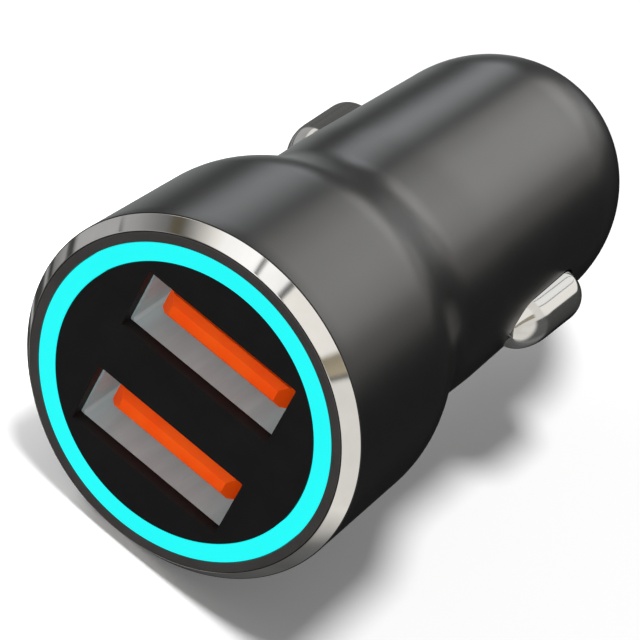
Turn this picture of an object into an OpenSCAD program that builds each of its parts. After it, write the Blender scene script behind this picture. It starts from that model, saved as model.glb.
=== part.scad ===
// Plug-in car charger with two USB-A ports.
// The axis runs along Y: the front face lies at y = 0 and the sprung tip points to +Y.
// X is the width of the ports and Z is up. All sizes are in millimetres.

/* [USB ports] */
// Width inside each metal shell
shell_w = 12.5; // [12.4:0.05:12.7]
// Height inside each metal shell and of each opening in the face plate
shell_h = 5.1; // [4.9:0.05:5.3]
// Length of each metal shell from the face plate to the port board
shell_len = 11.2; // [9.5:0.1:12]
// Sheet thickness of the metal shells
shell_t = 0.3; // [0.2:0.02:0.35]
// How far each opening is wider than its shell's inside, at each end
port_ease = 0.15; // [0:0.01:0.25]
// Distance between the centres of the two openings
port_pitch = 9.15; // [9:0.05:9.5]
// Thickness of the face plate
plate_t = 1.1; // [0.8:0.05:1.6]
// Gap between the coloured tongue and each end of its shell
tongue_side = 0.7; // [0.55:0.05:0.8]
// Thickness of the coloured tongue
tongue_t = 1.84; // [1.7:0.02:2]
// Distance from the face to the front edge of the tongue
tongue_set = 2.5; // [1.5:0.1:3]
// Distance from the upper edge of the opening to the upper side of the tongue
tongue_drop = 2.56; // [2.4:0.02:2.8]
// Bevel along the front edges of the tongue
tongue_bevel = 0.45; // [0.1:0.05:0.6]
// Thickness of the block at the back of the tongue
tongue_block = 3; // [2:0.1:4]
// Width of each strip contact on the tongue
pin_w = 1; // [0.8:0.05:1.2]
// Thickness of each strip contact on the tongue
pin_t = 0.3; // [0.2:0.02:0.4]
// Distance between the two inner strip contacts
pin_inner = 2; // [1.8:0.1:2.2]
// Distance between the two outer strip contacts
pin_outer = 7; // [6.6:0.1:7.4]

/* [Light ring, rim and bezel] */
// Least width of the face plate outside the corners of the shells
face_edge = 0.4; // [0.3:0.02:1]
// Radial width of the light ring
light_w = 1.3; // [1:0.05:1.5]
// Depth of the full width of the light ring before it thins to its skirt
light_flange = 2; // [1:0.1:4]
// Wall of the light ring's skirt
light_skirt_t = 0.9; // [0.6:0.05:0.95]
// Radial width of the dark rim between the light ring and the bezel
rim_w = 0.8; // [0.7:0.02:1]
// Radial width of the bright bevel
bezel_w = 0.94; // [0.7:0.02:1.2]
// Depth of the bright bevel
bezel_h = 1.08; // [0.6:0.02:1.6]
// How far the skirt of the bezel reaches into the housing
bezel_skirt = 2; // [1:0.1:3]
// Thickness of the skirt of the bezel
bezel_t = 0.35; // [0.2:0.01:0.4]
// How far the front frame reaches back from the face
frame_len = 9; // [5:0.1:9.5]

/* [Head] */
// Straight length of the head behind the bezel
head_len = 10.58; // [9.6:0.02:14]
// Radius that the head loses along that length
head_taper = 0.34; // [0:0.02:0.6]
// Wall left around the bore that holds the front frame
head_wall = 0.88; // [0.6:0.02:1.1]

/* [Shoulder and neck] */
// Length of the curve from the head to the barrel
neck_len = 9.55; // [8:0.05:14]
// How far the curve follows the head before it bends in
shoulder_pull = 3.68; // [1:0.02:4.5]
// How far the curve follows the barrel after it has bent in
neck_pull = 3.82; // [1:0.02:4.5]

/* [Barrel] */
// Radius of the round land that guides the plug in the socket
plug_r = 10.37; // [10.2:0.01:10.6]
// Length of that land
land_len = 4.3; // [3:0.1:6]
// Length of the barrel from the neck to the start of the nose
barrel_len = 19.65; // [19:0.05:24]
// Radius that the barrel loses between the land and the nose
barrel_taper = 0.58; // [0:0.02:0.8]
// Wall of the barrel and the nose
barrel_wall = 1.25; // [0.9:0.05:1.5]

/* [Nose] */
// Reach of the nose curve along the axis
nose_reach = 11.63; // [10:0.05:14]
// Fall of the nose curve towards the axis
nose_fall = 10.52; // [9.5:0.05:12]
// Radius of the flat end of the nose
nose_end_r = 4.6; // [4.2:0.1:5.5]
// Thickness of the floor that stops the flange of the tip
nose_floor = 1.8; // [1:0.1:3]

/* [Circuit boards] */
// Thickness of both circuit boards
board_t = 1.2; // [0.8:0.1:1.6]
// Number of light-emitting diodes behind the light ring
led_count = 8; // [4:1:12]
// Gap between the main board and the bore of the barrel at each side
board_side = 0.72; // [0.6:0.02:1.5]

/* [Side contacts] */
// Distance from the neck to the front end of each side contact
contact_set = 7.65; // [7:0.05:8.5]
// Length of each side contact
contact_len = 9.15; // [8.5:0.05:10.5]
// Width of each side contact
contact_w = 4.45; // [4:0.05:5]
// How far the crown of a side contact stands out of the barrel
contact_proud = 1.8; // [1.3:0.05:1.9]
// How far a side contact can be pressed in
contact_travel = 1.6; // [1.3:0.05:1.9]
// Length of the ramp at the front end of each side contact
ramp_len = 3.4; // [2.5:0.1:4.5]
// How far the front end of that ramp stands out of the barrel
ramp_step = 0.3; // [0:0.05:0.6]
// Sheet thickness of the side contacts
contact_t = 0.4; // [0.3:0.05:0.5]

/* [Tip] */
// Radius of the tip
tip_r = 2.5; // [2:0.05:2.8]
// How far the tip stands out of the nose
tip_out = 4.1; // [3.5:0.1:5]
// How far the tip can be pressed in
tip_travel = 3; // [2:0.1:3.4]
// Radius of the flange that keeps the tip in
tip_flange_r = 3.5; // [3.2:0.05:3.8]
// Length of the guiding sleeve behind the flange of a tip that is pressed in
sleeve_spare = 4; // [2.5:0.1:4.5]

/* [Springs] */
// Wire thickness of the tip spring
tip_wire = 0.5; // [0.3:0.05:0.6]
// Turns of the tip spring
tip_turns = 8; // [5:1:9]
// Wire thickness of the side contact springs
contact_wire = 0.4; // [0.3:0.05:0.45]
// Turns of the side contact springs
contact_turns = 5; // [4:1:6]

/* [Fits] */
// Gap between pieces that are pushed together
fit_gap = 0.05; // [0.02:0.01:0.08]
// Gap around the tip, which slides
slide_gap = 0.1; // [0.05:0.01:0.15]
// Gap around each side contact in its slot
slot_gap = 0.14; // [0.1:0.01:0.2]
// Gap between a board or component and what is round it
board_gap = 0.25; // [0.15:0.01:0.35]
// Gap between a spring and the pins and walls beside it
spring_gap = 0.25; // [0.15:0.01:0.3]

/* [Hidden] */
$fn = 96;

// Colours
plastic_black = [0.10, 0.10, 0.105];
rim_grey = [0.21, 0.20, 0.19];
bright_metal = [0.85, 0.85, 0.83];
light_cyan = [0.14, 0.98, 0.97];
steel_grey = [0.55, 0.55, 0.55];
tongue_orange = [1.0, 0.33, 0.0];
board_green = [0.06, 0.30, 0.14];
copper = [0.80, 0.42, 0.20];
ferrite = [0.20, 0.20, 0.21];
chip_black = [0.07, 0.07, 0.08];
brass = [0.80, 0.66, 0.32];
led_white = [0.92, 0.95, 0.85];
can_silver = [0.72, 0.73, 0.75];
part_beige = [0.72, 0.60, 0.42];

// Overlap of shapes that are joined, and how far a cut runs past what it cuts
join = 0.1;
past = 1;

// Openings and shells, seen from the front
port_w = shell_w + 2 * port_ease;
port_z = port_pitch / 2;
shell_out_w = shell_w + 2 * shell_t;
shell_out_h = shell_h + 2 * shell_t;
corner_r = 0.3;

// Radii of the front, from the ports outwards
face_r = norm([max(port_w, shell_out_w) / 2, port_z + shell_out_h / 2]) + face_edge;
light_r = face_r + light_w;
rim_r = light_r + rim_w;
head_r = rim_r + bezel_w;
bezel_step = 0.04;
skirt_r = rim_r + bezel_t;

// Stations along the axis
rebate_y = bezel_h + bezel_skirt;
head_end_y = bezel_h + head_len;
neck_y = head_end_y + neck_len;
land_y = neck_y + land_len;
nose_y = neck_y + barrel_len;
port_board_y = plate_t + shell_len;
seat_y = port_board_y + board_t;

// Radii of the barrel and the nose
head_end_r = head_r - head_taper;
barrel_end_r = plug_r - barrel_taper;
nose_turn = acos(1 - (barrel_end_r - nose_end_r) / nose_fall);
nose_end_y = nose_y + nose_reach * sin(nose_turn);
floor_y = nose_end_y - nose_floor;

// Bores of the housing
ledge_w = 0.8;
bore_lead = 0.8;
tip_flange_t = 1;
frame_bore_r = head_end_r + head_taper * (head_end_y - frame_len) / head_len - head_wall;
board_bore_r = light_r + 2 * fit_gap;
board_r = board_bore_r - board_gap;
ledge_r = board_r - ledge_w;
bore_front_r = plug_r - barrel_wall;
bore_end_r = barrel_end_r - barrel_wall;
bore_front_y = neck_y - bore_lead;
sleeve_r = tip_flange_r + slide_gap;
sleeve_out_r = sleeve_r + barrel_wall;
sleeve_y = floor_y - tip_flange_t - tip_travel - sleeve_spare;
inner_turn = acos(1 - (bore_end_r - sleeve_out_r) / nose_fall);

// Curves of the outline are followed in this many steps
shoulder_steps = 18;
nose_steps = 12;

function along(p, q, t) = p + (q - p) * t;

// Point at share t of a cubic curve with the four control points p
function cubic(p, t) =
    let (a = along(p[0], p[1], t), b = along(p[1], p[2], t), c = along(p[2], p[3], t))
    along(along(a, b, t), along(b, c, t), t);

// Points of the housing are [radius, y]
head_slope = [-head_taper, head_len] / norm([head_taper, head_len]);
shoulder_curve = [[head_end_r, head_end_y],
                  [head_end_r, head_end_y] + shoulder_pull * head_slope,
                  [plug_r, neck_y - neck_pull],
                  [plug_r, neck_y]];
shoulder_points = [for (i = [0:shoulder_steps]) cubic(shoulder_curve, i / shoulder_steps)];

// Point of the nose at a turn of a degrees, from a start radius r, moved in by a wall
function nose_point(r, a, wall) = [r - nose_fall * (1 - cos(a)), nose_y + (nose_reach - wall) * sin(a)];
nose_points = [for (i = [0:nose_steps]) nose_point(barrel_end_r, nose_turn * i / nose_steps, 0)];
cavity_points = [for (i = [nose_steps:-1:0])
                 nose_point(bore_end_r, inner_turn * i / nose_steps, barrel_wall)];

function barrel_radius(y) = plug_r - barrel_taper * max(0, y - land_y) / (nose_y - land_y);
function bore_radius(y) = bore_front_r + (bore_end_r - bore_front_r) * (y - bore_front_y) / (nose_y - bore_front_y);

// Tongues, strip contacts and the tabs of the shells
tongue_w = shell_w - 2 * tongue_side;
tongue_top = shell_h / 2 - tongue_drop;
block_y = port_board_y - tongue_block;
pin_xs = [-pin_outer / 2, -pin_inner / 2, pin_inner / 2, pin_outer / 2];
pin_step = 0.9;
pin_proud = 0.05;
pin_z = tongue_top + pin_proud - pin_t;
pin_tail = 0.8;
shell_tab_w = 1.6;
shell_tab_out = 0.6;

// Legs of the face plate
leg_t = 1.1;
leg_span = 44;

// Light-emitting diodes
led_size = [1.6, 0.8, 0.7];
led_gap = 0.3;
led_ring_r = face_r + light_skirt_t / 2 + fit_gap;
light_end_y = port_board_y - led_size[2] - led_gap;

// Side contacts
contact_y = neck_y + contact_set;
contact_end_y = contact_y + contact_len;
crown_x = barrel_radius(contact_y + ramp_len) + contact_proud;
ramp_root_x = barrel_radius(contact_y) + ramp_step;
ramp_power = 2.3;
crown_flat = 0.06;
crown_edge_r = (contact_w - crown_flat) / 2;
heel_r = 2;
flange_over = 0.8;
flange_w = contact_w + 2 * flange_over;
flange_x = sqrt(pow(bore_radius(contact_end_y + flange_over), 2) - pow(flange_w / 2, 2)) - board_gap;
flange_in_x = flange_x - contact_t;

// Main board, held by ribs ahead of the contacts and narrowed between them
board_top = board_t / 2;
board_w = 2 * (bore_front_r - board_side);
terminal_t = 0.4;
press_room = 0.93;
terminal_x = flange_in_x - contact_travel - press_room - terminal_t;
board_waist = 2 * (terminal_x - fit_gap);
waist_lead = 1.6;
waist_slope = 1;
waist_y = contact_y - waist_lead;
board_end_gap = 3.4;
board_end_y = sleeve_y - board_end_gap;
board_tab_x = 4.5;
board_tab_w = 3;
board_tab_out = 0.2;
rib_h = 1;
rib_grip = 0.8;
rib_len = 3.4;

// Plates under the contact springs
terminal_y = (contact_y + ramp_len + contact_end_y - heel_r) / 2;
terminal_len = 4.6;
terminal_h = 4.6;
foot_w = 2.4;
foot_len = 1.2;
foot_t = 0.4;
boss_r = 0.7;
boss_len = 0.9;

// Side contact springs, which end where the round inside of the shoe is as wide as the coil
contact_coil_r = boss_r + spring_gap + contact_wire / 2;
spring_seat_x = terminal_x + terminal_t;
shoe_in_r = crown_edge_r - contact_t;
coil_reach = contact_coil_r + contact_wire / 2 + spring_gap / 2 - crown_flat / 2;
spring_roof_x = crown_x - crown_edge_r + sqrt(pow(shoe_in_r, 2) - pow(coil_reach, 2));

// Tip, its spring and the positive terminal
flange_back_y = floor_y - tip_flange_t;
spigot_r = 1.4;
spigot_len = 2.6;
tip_end_y = nose_end_y + tip_out;
tip_coil_r = spigot_r + spring_gap + tip_wire / 2;
cup_t = 0.5;
cup_gap = 0.3;
cup_rim = 1.2;
cup_r = tip_flange_r;
cup_y = board_end_y + cup_gap;
cup_face_y = cup_y + cup_t;
prong_len = 3.4;
prong_t = 0.4;
prong_w = 2.4;

// Components on the main board: bodies are [x, y, z]
first_gap = 1.3;
can_gap = 0.7;
drum_r = 3.9;
drum_h = 6.2;
drum_flange = 1;
drum_core_r = 1.9;
wire_d = 0.6;
drum_y = seat_y + first_gap + drum_r;
can_in_r = 2.5;
can_in_h = 6.4;
can_in_y = drum_y + drum_r + can_gap + can_in_r;
can_out_r = 3.15;
can_out_h = 5.4;
can_out_y = seat_y + first_gap + can_out_r;
groove = 0.25;
groove_z = 1;
lead_t = 0.2;
lead_reach = 1;
lead_lift = 0.1;
converter_size = [3.9, 4.9, 1.5];
protocol_size = [3.2, 4.2, 1.3];
chip_leads = 4;
chip_lead_w = 0.4;
protocol_gap = 1.3;
diode_size = [2.2, 3.4, 2];
diode_lead_w = 2;
diode_gap = 0.5;
fuse_size = [1.6, 3.2, 1];
fuse_gap = 0.6;
part_size = [0.8, 1.6, 0.6];
part_rows = 3;
part_pitch = 2.6;
part_gap = 2.2;

// Solid of revolution about the Y axis, from points of [radius, y]
module revolve(points) {
    rotate([-90, 0, 0]) rotate_extrude() polygon(points);
}

// Prism along Y, from an outline in X and Z
module along_y(y, len) {
    translate([0, y, 0]) rotate([90, 0, 0]) translate([0, 0, -len]) linear_extrude(len) children();
}

// Prism along X, from an outline in Y and Z
module along_x(x, len) {
    translate([x, 0, 0]) rotate([90, 0, 90]) linear_extrude(len) children();
}

// Draws its children on the right for side = 1 and on the left for side = -1
module on_side(side) {
    mirror([side < 0 ? 1 : 0, 0, 0]) children();
}

// Rectangle with round corners, centred
module round_rect(w, h, r) {
    square([w - 2 * r, h], center = true);
    square([w, h - 2 * r], center = true);
    for (x = [-1, 1], y = [-1, 1]) {
        translate([x * (w / 2 - r), y * (h / 2 - r)]) circle(r, $fn = 32);
    }
}

// Outline with fully round ends, from u = 0 to len, centred on v = 0
module pill(len, w) {
    translate([w / 2, 0]) circle(d = w, $fn = 64);
    translate([len - w / 2, 0]) circle(d = w, $fn = 64);
    translate([w / 2, -w / 2]) square([len - w, w]);
}

// Coil spring along Z, with its end turns closed up
module coil(coil_r, wire, len, turns) {
    per_turn = 20;
    sides = 6;
    end_pitch = 0.35;
    rings = turns * per_turn;
    rise = len - wire;
    closed = 1 / turns;
    points = [for (i = [0:rings])
        let (t = i / rings,
             s = t < closed ? end_pitch * t : (t > 1 - closed ? 1 - end_pitch * (1 - t)
                 : end_pitch * closed + (t - closed) * (1 - 2 * end_pitch * closed) / (1 - 2 * closed)),
             a = 360 * turns * t)
        for (k = [0:sides - 1])
            let (b = 360 * k / sides, r = coil_r + wire / 2 * cos(b))
            [r * cos(a), r * sin(a), wire / 2 + rise * s + wire / 2 * sin(b)]];
    walls = [for (i = [0:rings - 1], k = [0:sides - 1])
        let (a = i * sides + k, b = i * sides + (k + 1) % sides, c = a + sides, d = b + sides)
        each [[a, b, d], [a, d, c]]];
    start_cap = [[for (k = [sides - 1:-1:0]) k]];
    end_cap = [[for (k = [0:sides - 1]) rings * sides + k]];
    polyhedron(points, concat(walls, start_cap, end_cap), convexity = 10);
}

// One-piece moulded housing: head, shoulder, barrel and nose
module housing() {
    color(plastic_black) difference() {
        union() {
            revolve(concat(
                [[head_r, bezel_h]], shoulder_points, [[plug_r, land_y]], nose_points,
                [[tip_r + slide_gap, nose_end_y], [tip_r + slide_gap, floor_y],
                 [sleeve_r, floor_y], [sleeve_r, sleeve_y], [sleeve_out_r, sleeve_y]],
                cavity_points,
                [[bore_front_r, bore_front_y], [ledge_r, seat_y], [board_bore_r, seat_y],
                 [board_bore_r, frame_len], [frame_bore_r, frame_len],
                 [frame_bore_r, rebate_y], [skirt_r + fit_gap, rebate_y],
                 [skirt_r + fit_gap, bezel_h]]));
            board_ribs();
        }
        for (side = [-1, 1]) on_side(side) contact_slot();
    }
}

// Ribs inside the barrel that hold the edges of the main board
module board_ribs() {
    rib_in = board_w / 2 - rib_grip;
    rib_out = bore_front_r + barrel_wall / 2;
    for (side = [-1, 1], up = [-1, 1]) on_side(side) {
        translate([rib_in, bore_front_y, up * (board_top + fit_gap + rib_h / 2) - rib_h / 2])
            cube([rib_out - rib_in, rib_len, rib_h]);
    }
}

// Cut through the barrel wall that a side contact slides in
module contact_slot() {
    translate([0, contact_y - slot_gap, 0]) {
        along_x(flange_x - board_gap, head_r) pill(contact_len + 2 * slot_gap, contact_w + 2 * slot_gap);
    }
}

// Bright bevelled ring whose skirt is pushed into the front of the housing
module chrome_bezel() {
    color(bright_metal) revolve([
        [rim_r, 0], [head_r - bezel_step, bezel_h], [skirt_r, bezel_h],
        [skirt_r, rebate_y - fit_gap], [rim_r, rebate_y - fit_gap]]);
}

// Dark frame that holds the light ring and shows as the rim round it
module front_frame() {
    color(rim_grey) revolve([
        [light_r + fit_gap, 0], [rim_r - fit_gap, 0],
        [rim_r - fit_gap, rebate_y - fit_gap], [frame_bore_r - fit_gap, rebate_y - fit_gap],
        [frame_bore_r - fit_gap, frame_len], [light_r + fit_gap, frame_len]]);
}

// Translucent ring with a skirt that carries the light from the diodes to the face
module light_guide() {
    color(light_cyan) revolve([
        [face_r, 0], [light_r, 0], [light_r, light_flange],
        [face_r + light_skirt_t, light_flange + light_w - light_skirt_t],
        [face_r + light_skirt_t, light_end_y], [face_r, light_end_y]]);
}

// Face plate with the two openings and the legs that stand on the port board
module face_plate() {
    plate_r = face_r - fit_gap;
    color(plastic_black) {
        difference() {
            revolve([[0, 0], [plate_r, 0], [plate_r, plate_t], [0, plate_t]]);
            for (z = [-port_z, port_z]) translate([0, 0, z]) {
                along_y(-past, plate_t + 2 * past) square([port_w, shell_h], center = true);
            }
        }
        for (turn = [0, 90, 180, 270]) rotate([0, turn, 0]) plate_leg(plate_r);
    }
}

// Curved leg of the face plate, centred on +X
module plate_leg(plate_r) {
    intersection() {
        revolve([[plate_r - leg_t, plate_t - join], [plate_r, plate_t - join],
                 [plate_r, port_board_y], [plate_r - leg_t, port_board_y]]);
        along_y(0, port_board_y + past) {
            reach = 2 * plate_r;
            polygon([[0, 0], [reach, reach * tan(leg_span / 2)], [reach, -reach * tan(leg_span / 2)]]);
        }
    }
}

// Folded metal shell of one port, centred on its opening, with a tab into the port board at each end
module usb_shell() {
    color(steel_grey) {
        along_y(plate_t, shell_len) difference() {
            round_rect(shell_out_w, shell_out_h, corner_r + shell_t);
            round_rect(shell_w, shell_h, corner_r);
        }
        for (side = [-1, 1]) on_side(side) {
            translate([shell_w / 2, port_board_y - join, -shell_tab_w / 2])
                cube([shell_t, join + board_t + shell_tab_out, shell_tab_w]);
        }
    }
}

// Coloured insulator of one port: the tongue and the block behind it
module usb_tongue() {
    top = tongue_top;
    low = top - tongue_t;
    half = tongue_w / 2;
    back = block_y + join;
    color(tongue_orange) difference() {
        union() {
            intersection() {
                along_x(-half, tongue_w) polygon([
                    [tongue_set, low + tongue_bevel], [tongue_set, top - tongue_bevel],
                    [tongue_set + tongue_bevel, top], [back, top],
                    [back, low], [tongue_set + tongue_bevel, low]]);
                translate([0, 0, low - past]) linear_extrude(tongue_t + 2 * past) polygon([
                    [-half + 2 * tongue_bevel, tongue_set], [half - 2 * tongue_bevel, tongue_set],
                    [half, tongue_set + 2 * tongue_bevel], [half, back],
                    [-half, back], [-half, tongue_set + 2 * tongue_bevel]]);
            }
            along_y(block_y, tongue_block) {
                round_rect(shell_w - 2 * fit_gap, shell_h - 2 * fit_gap, corner_r);
            }
        }
        for (x = pin_xs) {
            translate([x - pin_w / 2 - fit_gap, tongue_set + pin_step - fit_gap, pin_z - fit_gap])
                cube([pin_w + 2 * fit_gap, port_board_y, pin_t + 2 * fit_gap]);
        }
    }
}

// Four strip contacts of one port
module usb_pins() {
    color(brass) for (x = pin_xs) {
        translate([x - pin_w / 2, tongue_set + pin_step, pin_z])
            cube([pin_w, seat_y + pin_tail - tongue_set - pin_step, pin_t]);
    }
}

module usb_shell_upper() {
    translate([0, 0, port_z]) usb_shell();
}

module usb_shell_lower() {
    translate([0, 0, -port_z]) usb_shell();
}

module usb_tongue_upper() {
    translate([0, 0, port_z]) usb_tongue();
}

module usb_tongue_lower() {
    translate([0, 0, -port_z]) usb_tongue();
}

module usb_pins_upper() {
    translate([0, 0, port_z]) usb_pins();
}

module usb_pins_lower() {
    translate([0, 0, -port_z]) usb_pins();
}

// Slot right through the port board, round something that is w wide and h high and starts at x and z
module board_slot(x, z, w, h) {
    translate([x - fit_gap, port_board_y - past, z - fit_gap])
        cube([w + 2 * fit_gap, board_t + 2 * past, h + 2 * fit_gap]);
}

// Round board behind the ports, with slots for the shells, the strip contacts and the main board
module port_board() {
    color(board_green) difference() {
        revolve([[0, port_board_y], [board_r, port_board_y], [board_r, seat_y], [0, seat_y]]);
        for (z = [-port_z, port_z]) translate([0, 0, z]) {
            for (side = [-1, 1]) on_side(side) board_slot(shell_w / 2, -shell_tab_w / 2, shell_t, shell_tab_w);
            for (x = pin_xs) board_slot(x - pin_w / 2, pin_z, pin_w, pin_t);
        }
        for (side = [-1, 1]) on_side(side) {
            board_slot(board_tab_x - board_tab_w / 2, -board_top, board_tab_w, board_t);
        }
    }
}

// Light-emitting diodes in a ring on the front of the port board
module leds() {
    color(led_white) for (i = [0:led_count - 1]) {
        rotate([0, 360 * (i + 0.5) / led_count, 0])
            translate([led_ring_r - led_size[1] / 2, light_end_y + led_gap, -led_size[0] / 2])
                cube([led_size[1], led_size[2], led_size[0]]);
    }
}

// Main board along the axis, with two tabs into the port board and a waist between the contacts
module main_board() {
    wide = board_w / 2;
    waist = board_waist / 2;
    slope_y = waist_y - waist_slope;
    tab_y = port_board_y - board_tab_out;
    color(board_green) translate([0, 0, -board_top]) linear_extrude(board_t) {
        polygon([[-wide, seat_y], [wide, seat_y], [wide, slope_y], [waist, waist_y],
                 [waist, board_end_y], [-waist, board_end_y], [-waist, waist_y], [-wide, slope_y]]);
        for (side = [-1, 1]) {
            translate([side * board_tab_x - board_tab_w / 2, tab_y]) square([board_tab_w, seat_y + join - tab_y]);
        }
    }
}

// Ferrite drum of the inductor, standing on the main board
module inductor_core() {
    color(ferrite) translate([0, drum_y, board_top]) rotate_extrude() polygon([
        [0, 0], [drum_r, 0], [drum_r, drum_flange], [drum_core_r, drum_flange],
        [drum_core_r, drum_h - drum_flange], [drum_r, drum_h - drum_flange], [drum_r, drum_h], [0, drum_h]]);
}

// Copper winding between the flanges of the drum
module inductor_winding() {
    room = drum_h - 2 * drum_flange - 2 * fit_gap;
    rows = floor(room / wire_d);
    base = drum_flange + (drum_h - 2 * drum_flange - rows * wire_d) / 2;
    color(copper) translate([0, drum_y, board_top]) rotate_extrude() {
        translate([drum_core_r + fit_gap, base]) {
            square([drum_r - drum_core_r - wire_d, rows * wire_d]);
        }
        for (i = [0:rows - 1]) {
            translate([drum_r - wire_d + fit_gap, base + (i + 0.5) * wire_d]) circle(d = wire_d, $fn = 24);
        }
    }
}

// Electrolytic can with a groove above its base, standing on the board
module can(r, h) {
    in_r = r - groove;
    rotate_extrude() polygon([
        [0, 0], [r, 0], [r, groove_z], [in_r, groove_z + groove], [in_r, groove_z + 2 * groove],
        [r, groove_z + 3 * groove], [r, h - groove], [in_r, h], [0, h]]);
}

module input_capacitor() {
    color(can_silver) translate([0, can_in_y, board_top]) can(can_in_r, can_in_h);
}

module output_capacitor() {
    color(can_silver) translate([0, can_out_y, -board_top]) mirror([0, 0, 1]) can(can_out_r, can_out_h);
}

// Chip with gull-wing leads, standing on z = 0 with its leads on both sides
module chip(body, leads, lead_w) {
    pitch = body[1] / leads;
    knee = (lead_reach - lead_t) / 2;
    translate([-body[0] / 2, -body[1] / 2, lead_lift]) cube(body);
    for (side = [-1, 1], i = [0:leads - 1]) on_side(side) {
        translate([body[0] / 2, (i + 0.5) * pitch - body[1] / 2 - lead_w / 2, 0]) {
            translate([-join, 0, body[2] / 2]) cube([join + knee + lead_t, lead_w, lead_t]);
            translate([knee, 0, 0]) cube([lead_t, lead_w, body[2] / 2 + lead_t]);
            translate([knee, 0, 0]) cube([lead_reach - knee, lead_w, lead_t]);
        }
    }
}

module converter_chip() {
    color(chip_black) translate([0, can_in_y, -board_top]) mirror([0, 0, 1]) {
        chip(converter_size, chip_leads, chip_lead_w);
    }
}

module protocol_chip() {
    color(chip_black) translate([0, waist_y + protocol_gap + protocol_size[1] / 2, -board_top]) {
        mirror([0, 0, 1]) chip(protocol_size, chip_leads, chip_lead_w);
    }
}

// Rectifier diode with a folded lead at each side
module rectifier_diode() {
    color(chip_black) translate([can_in_r + diode_gap + lead_reach + diode_size[0] / 2, can_in_y, board_top]) {
        chip(diode_size, 1, diode_lead_w);
    }
}

// Surface-mount fuse between the tip and the converter
module input_fuse() {
    color(part_beige) {
        translate([-fuse_size[0] / 2, board_end_y - prong_len - fuse_gap - fuse_size[1], board_top]) cube(fuse_size);
    }
}

// Small resistors and capacitors in two rows on the lower side of the main board
module chip_parts() {
    color(part_beige) for (side = [-1, 1], i = [0:part_rows - 1]) on_side(side) {
        translate([can_out_r + part_gap, can_out_y - part_size[1] / 2 + i * part_pitch, -board_top - part_size[2]])
            cube(part_size);
    }
}

// Plate on the edge of the board that a contact spring stands on, with feet over and under the board
module ground_terminal() {
    color(brass) {
        translate([terminal_x, terminal_y - terminal_len / 2, -terminal_h / 2])
            cube([terminal_t, terminal_len, terminal_h]);
        for (up = [0, 1]) mirror([0, 0, up]) {
            translate([terminal_x - foot_len, terminal_y - foot_w / 2, board_top])
                cube([foot_len + join, foot_w, foot_t]);
        }
        translate([spring_seat_x - join, terminal_y, 0]) rotate([0, 90, 0]) {
            cylinder(r = boss_r, h = boss_len + join);
        }
    }
}

module ground_terminal_left() {
    on_side(-1) ground_terminal();
}

module ground_terminal_right() {
    on_side(1) ground_terminal();
}

// Coil spring that pushes a side contact out
module contact_spring() {
    color(steel_grey) translate([spring_seat_x, terminal_y, 0]) rotate([0, 90, 0]) {
        coil(contact_coil_r, contact_wire, spring_roof_x - spring_seat_x, contact_turns);
    }
}

module contact_spring_left() {
    on_side(-1) contact_spring();
}

module contact_spring_right() {
    on_side(1) contact_spring();
}

// Side view of a contact, in X and Y, shrunk by t: a step, a convex ramp, the straight crown and a round heel
module contact_side(t) {
    steps = 10;
    start = contact_y + t;
    end = contact_end_y - t;
    root = ramp_root_x - t;
    crown = crown_x - t;
    heel = heel_r - t;
    ramp_points = [for (i = [0:steps])
        [root + (crown - root) * (1 - pow(1 - i / steps, ramp_power)), start + ramp_len * i / steps]];
    heel_points = [for (i = [0:steps]) [crown - heel + heel * cos(90 * i / steps),
                                        end - heel + heel * sin(90 * i / steps)]];
    polygon(concat([[0, start]], ramp_points, heel_points, [[0, end]]));
}

// Section of a contact, in X and Z, shrunk by t, with round edges along its crown
module contact_section(t) {
    w = contact_w - 2 * t;
    crown = crown_x - t;
    edge = crown_edge_r - t;
    translate([0, -w / 2]) square([crown - edge, w]);
    translate([0, edge - w / 2]) square([crown, w - 2 * edge]);
    for (up = [-1, 1]) translate([crown - edge, up * (w / 2 - edge)]) circle(edge, $fn = 48);
}

// Form of a side contact outwards from x = from, shrunk by t
module contact_form(from, t) {
    w = contact_w - 2 * t;
    len = contact_len - 2 * t;
    intersection() {
        translate([0, contact_y + t, 0]) along_x(from, head_r) pill(len, w);
        along_y(contact_y + t, len) contact_section(t);
        translate([0, 0, -w / 2]) linear_extrude(w) contact_side(t);
    }
}

// Stamped side contact: a hollow shoe with a flange that stays inside the barrel
module side_contact() {
    color(bright_metal) difference() {
        union() {
            contact_form(flange_in_x, 0);
            translate([0, contact_y - flange_over, 0]) {
                along_x(flange_in_x, contact_t) pill(contact_len + 2 * flange_over, flange_w);
            }
        }
        contact_form(flange_in_x - past, contact_t);
    }
}

module side_contact_left() {
    on_side(-1) side_contact();
}

module side_contact_right() {
    on_side(1) side_contact();
}

// Cup behind the tip spring, with prongs soldered over both sides of the board's end
module positive_terminal() {
    rim_y = cup_face_y + cup_rim;
    color(brass) {
        revolve([[0, cup_y], [cup_r, cup_y], [cup_r, rim_y], [cup_r - cup_t, rim_y],
                 [cup_r - cup_t, cup_face_y], [spigot_r, cup_face_y], [spigot_r, rim_y], [0, rim_y]]);
        for (up = [0, 1]) mirror([0, 0, up]) {
            translate([-prong_w / 2, cup_y - prong_len, board_top]) cube([prong_w, prong_len + join, prong_t]);
        }
    }
}

// Spring that pushes the tip out
module tip_spring() {
    color(steel_grey) translate([0, cup_face_y, 0]) rotate([-90, 0, 0]) {
        coil(tip_coil_r, tip_wire, flange_back_y - cup_face_y, tip_turns);
    }
}

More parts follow.
